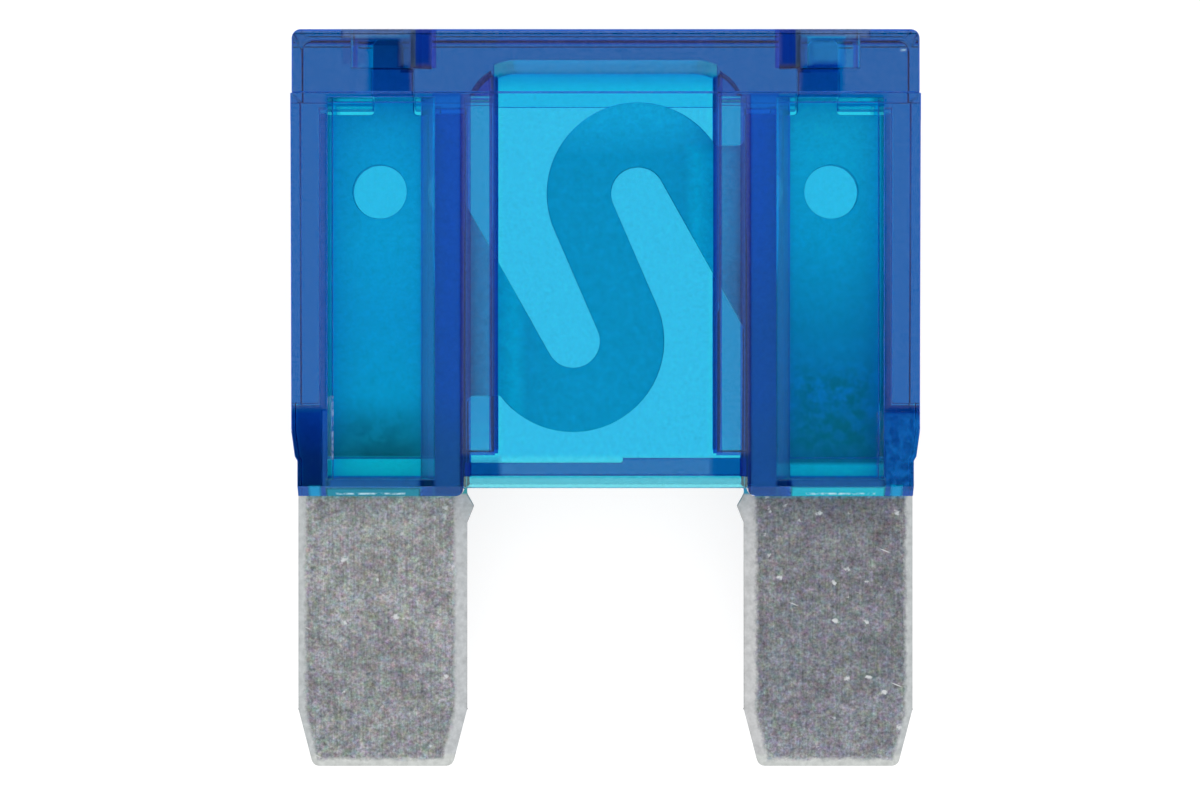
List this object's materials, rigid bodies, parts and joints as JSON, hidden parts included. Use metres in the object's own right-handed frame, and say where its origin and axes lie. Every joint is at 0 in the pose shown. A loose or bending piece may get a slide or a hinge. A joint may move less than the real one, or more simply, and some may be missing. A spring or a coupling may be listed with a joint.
{
  "type": "automotive blade fuse",
  "caption": "Large plug-in blade fuse: a clear blue moulded housing around one stamped metal element with two flat blades and an S-shaped link.",
  "frame": {"origin": "centre of the fuse's outline seen from the front, on the surface that it lies on", "axes": "+X across the two blades, +Y from the blade tips to the head, +Z out of the front face"},
  "size_m": [0.0292, 0.0344, 0.0089],
  "materials": {
    "blue_plastic": "clear blue moulded polycarbonate, glossy",
    "blue_bar": "clear blue moulded polycarbonate, pressed in",
    "zinc": "dull stamped zinc with fine scratches"
  },
  "bodies": {
    "root": {"housing": "blue_plastic", "closing_bar": "blue_bar", "fuse_element": "zinc"}
  },
  "joints": []
}
